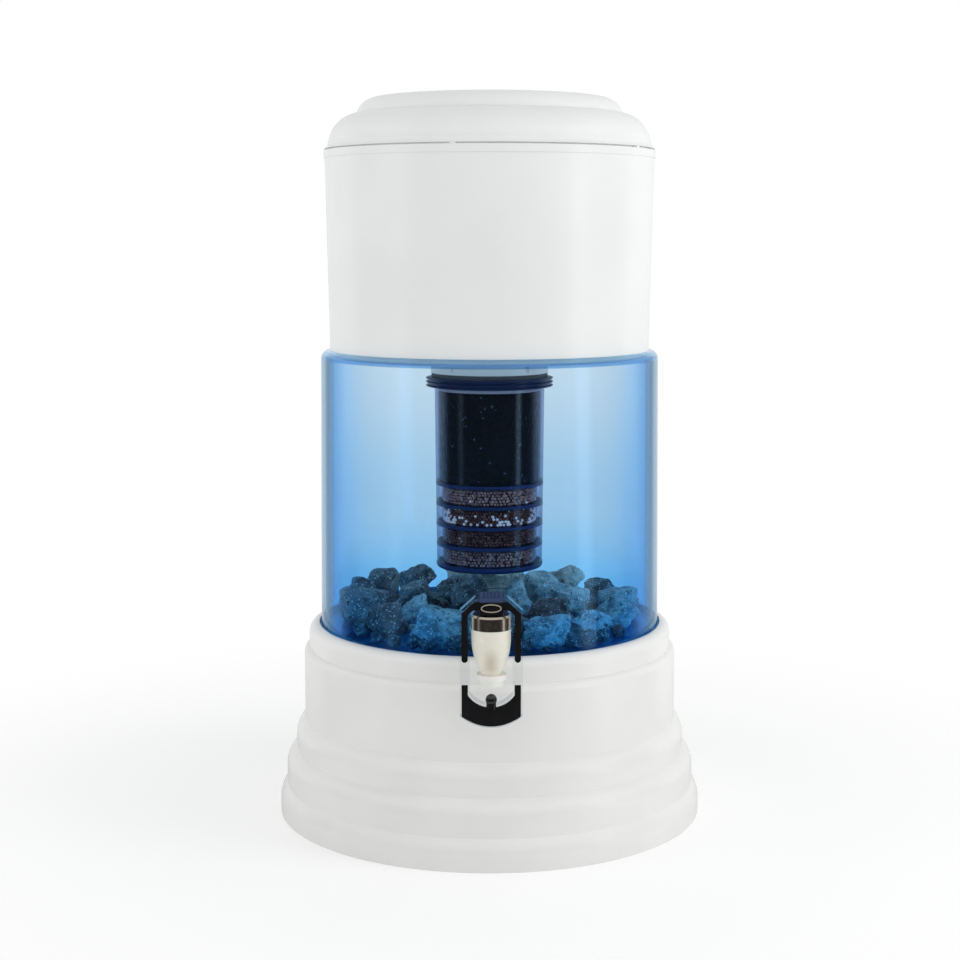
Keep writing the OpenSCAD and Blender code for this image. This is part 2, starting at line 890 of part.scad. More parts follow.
// Washer inside the tank: rounded to the tank's wall, flat against the nut
module tap_washer_inner() {
    color("dimgray")
        intersection() {
            difference() {
                along_shank(-tank_inner_r - over)
                    cylinder(r = flange_r, h = washer_t + over);
                along_shank(-tank_inner_r - 2 * over)
                    cylinder(r = shank_r + hole_gap, h = washer_t + 4 * over);
            }
            tank_cone(tank_wall);
        }
}

module shank_nut() {
    color("ivory")
        difference() {
            along_shank(-tank_inner_r + washer_t)
                cylinder(r = nut_across_flats / 2 / cos(30), h = nut_h, $fn = 6);
            along_shank(-tank_inner_r + washer_t - over)
                cylinder(r = shank_r + running_gap, h = nut_h + 2 * over);
        }
}

// ---------------------------------------------------------------- valve

// Rod with a collar for the spring and a slotted eye, in which the pin moves forward as it lifts
module valve_stem() {
    eye_r = pin_r + running_gap;
    stem_top_z = pin_z + 2.8;
    stem_foot_z = seat_z + 2;
    color("whitesmoke")
        difference() {
            translate([0, valve_y, 0]) {
                translate([0, 0, stem_foot_z])
                    cylinder(r = stem_r, h = stem_top_z - stem_foot_z);
                translate([0, 0, stem_collar_z])
                    cylinder(r = stem_collar_r, h = stem_collar_h);
            }
            translate([-stem_r - over, valve_y, pin_z])
                rotate([0, 90, 0]) {
                    for (y = [-pin_play, 0])
                        translate([0, y, 0])
                            cylinder(r = eye_r, h = 2 * (stem_r + over));
                    translate([-eye_r, -pin_play, 0])
                        cube([2 * eye_r, pin_play, 2 * (stem_r + over)]);
                }
        }
}

module valve_seat_cup() {
    color("lightyellow")
        translate([0, valve_y, 0])
            rotate_extrude()
                difference() {
                    polygon([
                        [0, seat_z], [cup_r, seat_z], [cup_r, seat_z + 1.5],
                        [cup_r - 1.6, stem_collar_z], [0, stem_collar_z]
                    ]);
                    translate([0, seat_z + 2])
                        square([stem_r, cup_h]);
                }
}

// Coil spring, swept as one tube along its helix
module valve_spring() {
    sides = 8;
    steps = 14;
    wire_r = wire_d / 2;
    z0 = stem_collar_z + stem_collar_h + wire_r;
    rise = spring_top_z - wire_r - z0;
    rings = spring_turns * steps;
    points = [for (i = [0:rings]) for (j = [0:sides - 1])
        let (a = 360 * i / steps, b = 360 * j / sides, r = spring_r + wire_r * cos(b))
        [r * cos(a), r * sin(a), z0 + rise * i / rings + wire_r * sin(b)]];
    walls = [for (i = [0:rings - 1]) for (j = [0:sides - 1])
        let (k = (j + 1) % sides)
        [i * sides + j, i * sides + k, (i + 1) * sides + k, (i + 1) * sides + j]];
    ends = [[for (j = [sides - 1:-1:0]) j], [for (j = [0:sides - 1]) rings * sides + j]];
    color("silver")
        translate([0, valve_y, 0])
            polyhedron(points, concat(walls, ends));
}

// ---------------------------------------------------------------- lever

// Moves a shape drawn in X and Z, and extruded along +Z by depth, to stand at front_y going back
module facing_front(front_y, depth) {
    translate([0, front_y + depth, 0])
        rotate([90, 0, 0])
            linear_extrude(height = depth)
                children();
}

// Front outline of the lever, drawn in from its edge by inset
module lever_outline(inset) {
    half_w = lever_w / 2 - inset;
    tongue_half = tongue_w / 2 - inset;
    sag = lever_side_z - lever_bottom_z;
    bottom_round = arc_radius(lever_w / 2, sag);
    intersection() {
        translate([-half_w, lever_bottom_z + inset])
            square([2 * half_w, shoulder_z - lever_bottom_z]);
        translate([0, lever_bottom_z + bottom_round])
            circle(r = bottom_round - inset);
        translate([-half_w, lever_bottom_z])
            square([2 * half_w, bottom_round]);
    }
    translate([-half_w, lever_side_z + inset])
        square([2 * half_w, shoulder_z - lever_side_z - 2 * inset]);
    polygon([
        [-half_w, shoulder_z - 3 * inset], [half_w, shoulder_z - 3 * inset],
        [half_w, shoulder_z - inset], [tongue_half, tongue_z - inset],
        [-tongue_half, tongue_z - inset], [-half_w, shoulder_z - inset]
    ]);
}

// Window round the tap body, drawn out from its edge by outset
module window_outline(outset) {
    half_w = window_w / 2 + outset;
    plate_centre_z = plate_edge_z + plate_edge_round;
    translate([-half_w, plate_centre_z])
        square([2 * half_w, arch_z + outset - arch_round - plate_centre_z]);
    translate([-half_w + arch_round, arch_z + outset - arch_round - eps])
        square([2 * (half_w - arch_round), arch_round + eps]);
    for (x = [-half_w + arch_round, half_w - arch_round])
        translate([x, arch_z + outset - arch_round])
            circle(r = arch_round);
    intersection() {
        translate([0, plate_centre_z])
            circle(r = plate_edge_round + outset);
        translate([-half_w, plate_edge_z - outset])
            square([2 * half_w, plate_edge_round + outset + eps]);
    }
}

module lever_frame() {
    color("aliceblue", 0.35)
        difference() {
            union() {
                facing_front(lever_front_y, lever_t)
                    difference() {
                        lever_outline(0);
                        window_outline(0);
                    }
                facing_front(lever_front_y, lever_t / 2)
                    translate([-tongue_w / 2, tongue_z - over])
                        square([tongue_w, tongue_h + over]);
            }
            translate([-hub_w / 2, hub_front_y, hub_z - over])
                cube([hub_w, hub_t, hub_h + over]);
        }
}

// Black block in the lever: its front lower edge is the round heel, it holds the pin, and ridges for
// the thumb stand up from it in front of the tongue
module lever_hub() {
    ridge_t = 2;
    ridge_h = 3.7;
    ridge_pitch = (hub_w - 1) / ridge_count;
    groove_r = 0.5;
    slot_w = 2 * (stem_r + 0.3);
    slot_front = 3.9;
    slot_back = 3.8;
    slot_h = 3.6;
    color("black")
        difference() {
            union() {
                translate([-hub_w / 2, hub_front_y, pin_z])
                    cube([hub_w, hub_t, hub_h - heel_r]);
                translate([-hub_w / 2, heel_y, hub_z])
                    cube([hub_w, hub_t - nose_t, heel_r]);
                intersection() {
                    translate([-hub_w / 2, heel_y, pin_z])
                        rotate([0, 90, 0])
                            cylinder(r = heel_r, h = hub_w);
                    translate([-hub_w / 2, hub_front_y, hub_z])
                        cube([hub_w, nose_t, heel_r]);
                }
                translate([-hub_w / 2, lever_front_y - ridge_t, hub_top_z - eps])
                    cube([hub_w, ridge_t, ridge_h + eps]);
            }
            for (k = [1:ridge_count - 1])
                translate([(k - ridge_count / 2) * ridge_pitch, lever_front_y - ridge_t, hub_top_z + 0.4])
                    cylinder(r = groove_r, h = ridge_h);
            translate([-slot_w / 2, valve_y - slot_front, hub_z - over])
                cube([slot_w, slot_front + slot_back, pin_z + slot_h - hub_z + over]);
            translate([-hub_w / 2 - over, valve_y, pin_z])
                rotate([0, 90, 0])
                    cylinder(r = pin_r + 0.01, h = hub_w + 2 * over);
        }
}

module lever_pin() {
    color("silver")
        translate([-hub_w / 2, valve_y, pin_z])
            rotate([0, 90, 0])
                cylinder(r = pin_r, h = hub_w);
}

// Ellipse as a polygon of planes
module ellipse(a, b) {
    step = 7.5;
    polygon([for (t = [0:step:360 - step]) [a * cos(t), b * sin(t)]]);
}

module hub_ring() {
    ring_w = 12.7;
    ring_h = 5.3;
    ring_drop = 0.6;
    line = 0.6;
    color("silver")
        facing_front(hub_front_y - 0.8, 0.8)
            translate([0, hub_z + hub_h / 2 - ring_drop])
                difference() {
                    ellipse(ring_w / 2, ring_h / 2);
                    ellipse(ring_w / 2 - line, ring_h / 2 - line);
                }
}

// Black arch over the tap body, inlaid on the lever's front, open for the hub
module lever_trim_upper() {
    arm_w = (lever_w - window_w) / 2 - 2 * trim_border;
    arm_x = window_w / 2 + trim_border + arm_w / 2;
    color("black")
        difference() {
            facing_front(lever_front_y - trim_t, trim_t) {
                difference() {
                    lever_outline(trim_border);
                    window_outline(trim_border);
                    translate([-lever_w, lever_bottom_z - over])
                        square([2 * lever_w, upper_trim_z + arm_w / 2 - lever_bottom_z + over]);
                }
                for (x = [-arm_x, arm_x])
                    translate([x, upper_trim_z + arm_w / 2])
                        circle(d = arm_w);
            }
            translate([-hub_w / 2, hub_front_y, hub_z - over])
                cube([hub_w, hub_t, hub_h + 2 * over]);
        }
}

// Black push plate: raised side strips, a flat middle and a round stub that stands up from its edge
module lever_trim_lower() {
    strip_w = 3;
    slope_w = 2.4;
    strip_rise = 1;
    half_w = lever_w / 2;
    stub_r = 3.1;
    knob_r = 3.6;
    knob_z = plate_edge_z + 0.3 + knob_r;
    stub_y = lever_front_y - trim_t / 2;
    color("black") {
        intersection() {
            facing_front(lever_front_y - trim_t - strip_rise, trim_t + strip_rise)
                intersection() {
                    difference() {
                        lever_outline(trim_border);
                        window_outline(trim_border);
                    }
                    translate([-half_w, lever_bottom_z])
                        square([lever_w, lower_trim_z - lever_bottom_z]);
                }
            translate([0, lever_front_y, lever_bottom_z])
                linear_extrude(height = lower_trim_z - lever_bottom_z)
                    polygon([
                        [-half_w, 0], [half_w, 0], [half_w, -trim_t - strip_rise],
                        [half_w - strip_w, -trim_t - strip_rise], [half_w - strip_w - slope_w, -trim_t],
                        [-half_w + strip_w + slope_w, -trim_t], [-half_w + strip_w, -trim_t - strip_rise],
                        [-half_w, -trim_t - strip_rise]
                    ]);
        }
        intersection() {
            translate([0, stub_y, plate_edge_z - 2])
                cylinder(r = stub_r, h = knob_z - plate_edge_z + 2);
            translate([-knob_r, lever_front_y - 2 * knob_r, plate_edge_z - 2])
                cube([2 * knob_r, 2 * knob_r, 3 * knob_r]);
        }
        translate([0, stub_y, knob_z])
            sphere(r = knob_r);
    }
}

stand();
lower_tank();
mineral_stones();
upper_tank();
lid();
ceramic_dome();
dome_base();
dome_gasket();
cartridge_gasket();
cartridge_cover();
cartridge_casing();
media_rings();
inlet_pad();
carbon_bed();
media_separators();
mineral_bed_upper();
silver_bead_bed();
mineral_bed_middle();
mineral_bed_lower();
cartridge_cap();
tap_body();
tap_bonnet();
tap_washer_outer();
tap_washer_inner();
shank_nut();
valve_stem();
valve_seat_cup();
valve_spring();
lever_frame();
lever_hub();
hub_ring();
lever_trim_upper();
lever_trim_lower();
lever_pin();
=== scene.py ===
"""Studio scene of a counter-top gravity water filter with a push-back tap.

The rigid pieces come from the frame and get their finishes here. The loose fills (stones, beads,
carbon) are modelled here and stand for their plain solids. The valve's spring is a copy of the
frame's. Lengths are metres in the part's own frame: +Z up, the tap towards -Y.
"""
import math
import random

import bmesh
import bpy
from mathutils import Matrix, Vector


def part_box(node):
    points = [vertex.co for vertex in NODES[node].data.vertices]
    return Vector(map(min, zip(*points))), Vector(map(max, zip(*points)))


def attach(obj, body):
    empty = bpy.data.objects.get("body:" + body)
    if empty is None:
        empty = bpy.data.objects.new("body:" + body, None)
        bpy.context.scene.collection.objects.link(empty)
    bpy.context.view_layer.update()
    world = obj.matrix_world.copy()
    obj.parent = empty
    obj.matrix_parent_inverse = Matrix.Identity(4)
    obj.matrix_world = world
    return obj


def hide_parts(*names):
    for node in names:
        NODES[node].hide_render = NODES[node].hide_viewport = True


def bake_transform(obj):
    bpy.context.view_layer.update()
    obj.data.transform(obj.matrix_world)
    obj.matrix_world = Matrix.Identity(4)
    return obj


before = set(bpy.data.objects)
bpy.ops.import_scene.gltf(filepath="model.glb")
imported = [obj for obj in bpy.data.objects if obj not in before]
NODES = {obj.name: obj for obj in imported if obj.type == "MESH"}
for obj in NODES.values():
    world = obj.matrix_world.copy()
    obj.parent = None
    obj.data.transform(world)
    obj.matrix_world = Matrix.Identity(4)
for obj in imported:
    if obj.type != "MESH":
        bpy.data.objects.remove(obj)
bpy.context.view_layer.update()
MM = 0.001

# Camera
CAMERA_FAR = 1.25
CAMERA_HEIGHT = 0.404
CAMERA_TURN = math.radians(-0.35)
CAMERA_TILT = math.radians(82.10)
CAMERA_LENS = 67.16
CAMERA_SHIFT = (-0.0099, 0.0047)

# Studio. A lamp has its place, width, height and power in watts. FLOOR_LIFT is a glow of the
# floor that only the camera sees
AIM = (0.0, 0.0, 0.25)
RIGHT_LAMP = ((1.45, -0.55, 0.75), 0.9, 1.6, 9.5)
LEFT_LAMP = ((-1.45, -0.50, 0.65), 0.8, 1.4, 4.0)
WHITE = (1.0, 1.0, 1.0)
BLACK = (0.0, 0.0, 0.0)
SKY_LEVEL = 1.00
SKY_FALL = 0.55
FLOOR_SIZE = 12.0
FLOOR_TONE = (0.82, 0.82, 0.82)
FLOOR_LIFT = (0.30, 0.30, 0.30)
FLOOR_LEVEL = 0.80
SHADOW_NEAR = 0.17
SHADOW_FAR = 0.60
SEE_THROUGH_BOUNCES = 32

# Room that shiny surfaces mirror. A pair is where a change begins and where it ends, as the -Y
# part of a direction, or for the ceiling its +Z part
SIDE_LEVEL = 0.85
DARK_LEVEL = 0.03
DARK_EDGE = (-0.45, -0.15)
WINDOW_START = (0.30, 0.40)
WINDOW_END = (0.46, 0.56)
WINDOW_LEVEL = 0.80
WINDOW_LEAN = 0.45
CEILING_EDGE = (0.25, 0.50)

# Clear plastic: what its surface mirrors, and the share that it mirrors where met square on
CLEAR_SHINE = (0.92, 0.95, 1.00)
CLEAR_ROUGHNESS = 0.05
SQUARE_ON_SHARE = 0.04

# Clear blue tank: what one wall surface lets through, low, part way up and at the top, at the
# sides, at the very edge (a painted reflection), at the ledge (a painted shadow), the mouth and the
# floor
TANK_TINT_LOW = (0.52, 0.81, 1.00)
TANK_TINT_MIDDLE = (0.775, 0.895, 0.978)
TANK_TINT_HIGH = (0.885, 0.948, 0.990)
TANK_TINT_EDGE = (0.26, 0.55, 0.84)
TANK_TINT_RIM_REFLECTION = (0.58, 0.65, 0.72)
TANK_TINT_LEDGE_SHADE = (0.50, 0.68, 0.88)
TANK_TINT_MOUTH = (0.84, 0.92, 0.97)
TANK_TINT_FLOOR = (0.42, 0.80, 1.00)
TANK_SHINE = (0.45, 0.75, 1.00)

# Where those tints lie: the middle one as a share of the height, and pairs where a change begins
# and ends, by how far the surface turns away, down from the top and up from the foot.
# TANK_EDGE_DEPTH is how strong the sides' tint gets
TANK_MIDDLE = 0.38
TANK_EDGE_DEPTH = 1.3
TANK_RIM_REFLECTION_FACING = (0.67, 0.72)
TANK_MOUTH_DOWN = (3.4 * MM, 2.6 * MM)
TANK_LEDGE_SHADE_DOWN = (6.2 * MM, 5.4 * MM)
TANK_FLOOR_UP = (4.0 * MM, 5.5 * MM)

# Painted glow for the light that thin white walls let into the gap under the lid: how strong, how
# far below and above the upper tank's rim, and how far inside it
LID_GAP_PAINTED_GLOW = 0.13
LID_GAP_BELOW = 0.25 * MM
LID_GAP_ABOVE = 1.0 * MM
LID_GAP_INSIDE = 0.8 * MM

# Tap body, up from its spout: the flange's paler plastic, and the foot and the top of the painted
# shade in the bell where its inner core shows dark
TAP_FLANGE_UP = (6 * MM, 8 * MM)
TAP_CORE_SHADE_FOOT = (7 * MM, 13 * MM)
TAP_CORE_SHADE_TOP = (16 * MM, 27 * MM)
TAP_CORE_SHADE_R = 7 * MM

# Beads. A bed's WALL_RINGS outermost rings have every row of beads, and the rings inside them the
# top row only
BEAD_R = 1.08 * MM
BEAD_GAP = 2.35 * MM
BEAD_ROWS = 5
BEAD_RISE = 2.05 * MM
WALL_RINGS = 1
TOP_RINGS = 7
RING_STEP = 1.6 * BEAD_R
CORE_INSET = 1.7 * BEAD_R
BED_GAP = 0.25 * MM
BEAD_SIDES = 10
BEAD_RINGS = 6
# Painted glow that brightens the silver beads
SILVER_PAINTED_GLOW = 0.25

# Carbon
CARBON_SIDE_GAP = 0.5 * MM
CARBON_END_GAP = 0.3 * MM
CARBON_DRAW = 0.985
CARBON_VOXEL = 0.9 * MM
CARBON_GRAIN = 1.7 * MM
CARBON_RELIEF = 0.8 * MM

# Stones. A rock is about two units across: how deep its splits lie, and for each relief its name,
# texture, size and height. A pebble ring has its radius and number; the first lies along the front
# only. STONE_PULL draws a stone in by that share of its x. A tone belongs to the stones nearest
# to its x and y
ROCK_FORMS = 8
ROCK_SPLITS = 12
ROCK_SPLIT_DEPTH = (0.45, 0.84)
ROCK_GRAIN = 0.07
PEBBLE_GRAIN = 0.14
ROCK_RELIEFS = (
    ("rock_lumps", "VORONOI", 0.95, 0.30),
    ("rock_chips", "VORONOI", 0.38, 0.11),
    ("rock_grit", "CLOUDS", 0.16, 0.07),
)
STONE_PULL = 0.05
STONE_GROWTH = 1.0 * MM
PEBBLE_R = 6.5 * MM
PEBBLE_SPREAD = (0.70, 1.15)
PEBBLE_RINGS = ((0.104, 42), (0.077, 22), (0.040, 12))
FRONT_SINE = -0.5
WALL_GAP = 0.4 * MM
STONE_KINDS = ["slate", "azure", "pale", "mauve"]
FRONT_KINDS = ("slate", "slate", "mauve")
STONE_TONES = [
    ("azure", 0.080, -0.020), ("azure", 0.055, -0.080), ("azure", -0.035, -0.090),
    ("azure", 0.060, 0.030), ("azure", -0.060, -0.020), ("slate", -0.095, 0.010),
    ("slate", -0.085, -0.050), ("slate", -0.060, 0.075), ("slate", 0.095, 0.060),
    ("slate", 0.100, -0.035), ("slate", -0.030, 0.030), ("pale", 0.000, 0.060),
    ("pale", 0.030, 0.090), ("pale", -0.030, 0.100), ("mauve", 0.035, -0.050),
    ("mauve", -0.065, -0.075),
]


# ---------------------------------------------------------------- shader maths


class Value:
    """One output of a node. Sums and products of it add their own Math nodes."""

    def __init__(self, board, socket):
        self.board = board
        self.socket = socket

    def maths(self, operation, *operands):
        return self.board.node("ShaderNodeMath", {"operation": operation}, operands)

    def __add__(self, other):
        return self.maths("ADD", self, other)

    def __sub__(self, other):
        return self.maths("SUBTRACT", self, other)

    def __rsub__(self, other):
        return self.maths("SUBTRACT", other, self)

    def __mul__(self, other):
        return self.maths("MULTIPLY", self, other)

    def __pow__(self, other):
        return self.maths("POWER", self, other)

    __radd__ = __add__
    __rmul__ = __mul__

    def between(self, low, high):
        """0 below low, 1 above high, and a smooth step from one to the other."""
        settings = {"interpolation_type": "SMOOTHSTEP"}
        return self.board.node("ShaderNodeMapRange", settings, (self, low, high))

    def part(self, axis):
        """One part of a vector, "X", "Y" or "Z"."""
        return self.board.node("ShaderNodeSeparateXYZ", None, (self,), axis)


class Board:
    """The nodes of one material or world while it is being made."""

    def __init__(self, owner):
        owner.use_nodes = True
        self.owner = owner
        self.tree = owner.node_tree
        self.tree.nodes.clear()

    def node(self, kind, settings=None, inputs=(), output=0):
        """Adds a node: settings first, then a value or a link for each of its inputs."""
        made = self.tree.nodes.new(kind)
        for name, setting in (settings or {}).items():
            setattr(made, name, setting)
        pairs = inputs.items() if isinstance(inputs, dict) else enumerate(inputs)
        for key, value in pairs:
            self.feed(made.inputs[key], value)
        return Value(self, made.outputs[output])

    def feed(self, socket, value):
        if isinstance(value, Value):
            self.tree.links.new(value.socket, socket)
        elif socket.type == "RGBA":
            socket.default_value = (*value, 1.0)
        else:
            socket.default_value = value

    def ray(self, kind):
        """1 for a ray of this kind, such as "Is Camera Ray", and 0 for any other."""
        return self.node("ShaderNodeLightPath", output=kind)

    def spot(self):
        """Place on the piece, in metres of the part's frame."""
        return self.node("ShaderNodeTexCoord", output="Object")

    def stretched(self, scale):
        """The place with each of its parts multiplied."""
        return self.node("ShaderNodeMapping", None, {"Vector": self.spot(), "Scale": scale})

    def length(self, vector):
        return self.node("ShaderNodeVectorMath", {"operation": "LENGTH"}, (vector,), "Value")

    def noise(self, size, detail=2.0, coarse=0.5, at=None, shift=0.0):
        """Soft noise from 0 to 1 whose lumps are about size across."""
        settings = {"noise_dimensions": "4D"}
        inputs = {
            "Vector": at or self.spot(), "W": shift, "Scale": 1.0 / size,
            "Detail": detail, "Roughness": coarse,
        }
        return self.node("ShaderNodeTexNoise", settings, inputs)

    def cells(self, size, output="Distance"):
        """Cells about size across: the distance from the middle of each, or its chance colour."""
        inputs = {"Vector": self.spot(), "Scale": 1.0 / size}
        return self.node("ShaderNodeTexVoronoi", None, inputs, output)

    def tone(self, factor, low, high):
        """The colour low where factor is 0 and high where it is 1."""
        return self.node("ShaderNodeMix", {"data_type": "RGBA"}, {0: factor, 6: low, 7: high}, 2)

    def bump(self, height, depth):
        return self.node("ShaderNodeBump", None, {"Height": height, "Distance": depth})

    def plastic(self, base, roughness, normal=None, **more):
        """A Principled surface; more names its other sockets, with _ for a space."""
        inputs = {"Base Color": base, "Roughness": roughness}
        if normal is not None:
            inputs["Normal"] = normal
        for name, value in more.items():
            inputs[name.replace("_", " ")] = value
        return self.node("ShaderNodeBsdfPrincipled", None, inputs)

    def glassy(self, tint):
        """Lets light straight through with a tint."""
        return self.node("ShaderNodeBsdfTransparent", None, (tint,))

    def blend(self, factor, first, second):
        return self.node("ShaderNodeMixShader", None, (factor, first, second))

    def grazing(self):
        """0 where a surface is met square on and 1 where it is seen edge on."""
        return self.node("ShaderNodeLayerWeight", None, {"Blend": 0.5}, "Facing")

    def mirror_share(self):
        """Share of the light that a clear surface reflects."""
        return (1.0 - SQUARE_ON_SHARE) * self.grazing() ** 5.0 + SQUARE_ON_SHARE

    def done(self, surface):
        kind = "World" if isinstance(self.owner, bpy.types.World) else "Material"
        output = self.tree.nodes.new("ShaderNodeOutput" + kind)
        self.feed(output.inputs["Surface"], surface)
        return self.owner


def new_finish(name):
    return Board(bpy.data.materials.new(name))


# ---------------------------------------------------------------- studio


def place_camera():
    lens = bpy.data.cameras.new("camera")
    lens.lens = CAMERA_LENS
    lens.shift_x, lens.shift_y = CAMERA_SHIFT
    camera = bpy.data.objects.new("camera", lens)
    camera.location = (
        CAMERA_FAR * math.sin(CAMERA_TURN), -CAMERA_FAR * math.cos(CAMERA_TURN), CAMERA_HEIGHT)
    camera.rotation_euler = (CAMERA_TILT, 0.0, CAMERA_TURN)
    bpy.context.scene.collection.objects.link(camera)
    bpy.context.scene.camera = camera


def softbox(name, place, width, height, power):
    """A rectangular lamp at place that points at the object and isn't mirrored in it."""
    light = bpy.data.lights.new(name, "AREA")
    light.shape = "RECTANGLE"
    light.size = width
    light.size_y = height
    light.energy = power
    lamp = bpy.data.objects.new(name, light)
    lamp.visible_glossy = False
    lamp.location = place
    lamp.rotation_euler = (Vector(AIM) - Vector(place)).to_track_quat("-Z", "Y").to_euler()
    bpy.context.scene.collection.objects.link(lamp)


def room_mirrored(board, towards):
    """What a shiny surface sees in a level direction: dark in front with two dim windows in it,
    the right one brighter, and bright walls at the back."""
    front = towards.part("Y") * -1.0
    windows = front.between(*WINDOW_START) * (1.0 - front.between(*WINDOW_END))
    shine = WINDOW_LEVEL + WINDOW_LEAN * towards.part("X")
    dark = front.between(*DARK_EDGE)
    return SIDE_LEVEL - (SIDE_LEVEL - DARK_LEVEL) * dark + windows * shine


def studio_world():
    """White to the camera, the room to shiny surfaces, and to all else soft light from all round,
    less of it from straight above."""
    board = Board(bpy.data.worlds.new("studio"))
    seen, mirrored = board.ray("Is Camera Ray"), board.ray("Is Glossy Ray")
    direction = board.node("ShaderNodeTexCoord", output="Generated")
    up = direction.part("Z")
    fill = SKY_LEVEL - SKY_FALL * up.maths("MAXIMUM", up, 0.0)
    level = room_mirrored(board, direction)
    walls = level + up.between(*CEILING_EDGE) * (SIDE_LEVEL - level)
    unseen = fill + mirrored * (walls - fill)
    strength = unseen + seen * (1.0 - unseen)
    bpy.context.scene.world = board.done(
        board.node("ShaderNodeBackground", None, (WHITE, strength)))


def studio_floor():
    """White floor that keeps the object's soft shadow and turns pure white further off."""
    board = new_finish("floor")
    away = board.length(board.spot())
    towards = board.node("ShaderNodeVectorMath", {"operation": "NORMALIZE"}, (board.spot(),))
    seen, mirrored = board.ray("Is Camera Ray"), board.ray("Is Glossy Ray")
    lift = board.tone(seen, BLACK, FLOOR_LIFT)
    near = board.plastic(FLOOR_TONE, 0.6, Emission_Color=lift, Emission_Strength=1.0)
    unseen = FLOOR_LEVEL + mirrored * (room_mirrored(board, towards) - FLOOR_LEVEL)
    far = board.node("ShaderNodeEmission", None, (WHITE, unseen + seen * (1.0 - unseen)))
    bpy.ops.mesh.primitive_plane_add(size=FLOOR_SIZE, location=(0.0, 0.0, 0.0))
    floor = bpy.context.object
    floor.name = "floor"
    floor.data.materials.append(
        board.done(board.blend(away.between(SHADOW_NEAR, SHADOW_FAR), near, far)))


# ---------------------------------------------------------------- finishes


def moulded(name, colour, roughness, variation=0.03, glow=None):
    """Opaque moulded plastic: faint clouding, uneven gloss and an orange-peel skin.

    glow is painted light for what thin walls let through, as (level, lowest z, highest z, outer
    radius).
    """
    board = new_finish(name)
    dull = tuple(part * (1.0 - variation) for part in colour)
    cloud = board.noise(60 * MM, detail=4.0)
    specks = board.noise(0.7 * MM, detail=1.0)
    base = board.tone(cloud.between(0.35, 0.65), dull, colour)
    gloss = roughness + 0.10 * (board.noise(14 * MM, detail=3.0) - 0.5)
    skin = board.bump(specks + 2.0 * board.noise(5 * MM, detail=1.0), 0.002 * MM)
    if glow is None:
        return board.done(board.plastic(base, gloss, skin))
    level, low, high, outer = glow
    height = board.spot().part("Z")
    reach = board.length(board.stretched((1.0, 1.0, 0.0)))
    above = height.between(low, low + 0.2 * MM)
    below = 1.0 - height.between(high - 0.2 * MM, high)
    inside = 1.0 - reach.between(outer - 0.3 * MM, outer)
    # Painted light: a glow in the band under the lid, inside the upper tank's rim
    light = board.tone(above * below * inside, BLACK, (level,) * 3)
    return board.done(board.plastic(
        base, gloss, skin, Emission_Color=light, Emission_Strength=1.0))


def clear_plastic(name, tint, edge_tint, depth):
    """Clear plastic: light goes straight through with a tint that turns to edge_tint, by depth,
    where the surface is seen edge on."""
    board = new_finish(name)
    body = board.blend(
        depth * board.grazing() ** 2.0, board.glassy(tint), board.glassy(edge_tint))
    gloss = CLEAR_ROUGHNESS + 0.03 * board.noise(9 * MM)
    skin = board.bump(board.noise(4 * MM), 0.01 * MM)
    shell = board.plastic(CLEAR_SHINE, gloss, skin, Metallic=1.0)
    return board.done(board.blend(board.mirror_share(), body, shell))


def tank_plastic():
    """Clear blue plastic: deeper in colour towards the foot and the sides, greyer at the very edge
    as a painted reflection, with a painted shadow at the ledge below a pale mouth."""
    board = new_finish("blue_clear")
    low, high = (corner.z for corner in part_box("lower_tank"))
    middle = low + TANK_MIDDLE * (high - low)
    height = board.spot().part("Z")
    lower = board.blend(
        height.between(low, middle), board.glassy(TANK_TINT_LOW), board.glassy(TANK_TINT_MIDDLE))
    body = board.blend(height.between(middle, high), lower, board.glassy(TANK_TINT_HIGH))
    edge = board.grazing()
    deep = board.blend(TANK_EDGE_DEPTH * edge ** 3.0, body, board.glassy(TANK_TINT_EDGE))
    # Painted reflection: a greyer tint where the wall is seen nearly edge on
    side = board.blend(edge.between(*TANK_RIM_REFLECTION_FACING), deep, board.glassy(TANK_TINT_RIM_REFLECTION))
    mouth = height.between(*(high - down for down in TANK_MOUTH_DOWN))
    # Painted shadow: a darker band at the ledge, under the upper tank's spigot
    ledge = height.between(*(high - down for down in TANK_LEDGE_SHADE_DOWN)) * (1.0 - mouth)
    upright = board.blend(mouth, side, board.glassy(TANK_TINT_MOUTH))
    upright = board.blend(ledge, upright, board.glassy(TANK_TINT_LEDGE_SHADE))
    above_floor = height.between(*(low + rise for rise in TANK_FLOOR_UP))
    wall = board.blend(above_floor, board.glassy(TANK_TINT_FLOOR), upright)
    gloss = 0.04 + 0.03 * board.noise(30 * MM)
    waves = board.bump(board.noise(22 * MM), 0.005 * MM)
    shell = board.plastic(TANK_SHINE, gloss, waves, Metallic=1.0)
    return board.done(board.blend(board.mirror_share(), wall, shell))


def rock(name, dark, pale, fleck, seed):
    """Broken crystalline mineral: bands of two tones, painted shade in its cracks, bright grains, a
    pitted skin.
    """
    board = new_finish(name)
    bands = board.noise(9 * MM, detail=8.0, coarse=0.7, shift=seed)
    grains = board.noise(1.0 * MM, detail=5.0, coarse=0.75, shift=seed)
    cleft_shade = board.noise(5 * MM, detail=6.0, coarse=0.6, shift=seed + 2.0)
    crystals = board.cells(0.9 * MM, "Color").part("X")
    base = board.tone(bands.between(0.38, 0.60), dark, pale)
    # Painted shade: patches at half the dark tone stand for the shade in cracks
    base = board.tone(cleft_shade.between(0.37, 0.43), tuple(0.5 * part for part in dark), base)
    base = board.tone(0.85 * grains.between(0.56, 0.64), base, fleck)
    spark = tuple(0.2 + 0.8 * part for part in fleck)
    base = board.tone(crystals.between(0.94, 0.96), base, spark)
    gloss = 0.30 + 0.35 * grains
    pits = board.bump(grains + 0.4 * board.cells(3.0 * MM), 0.7 * MM)
    return board.done(board.plastic(base, gloss, pits))


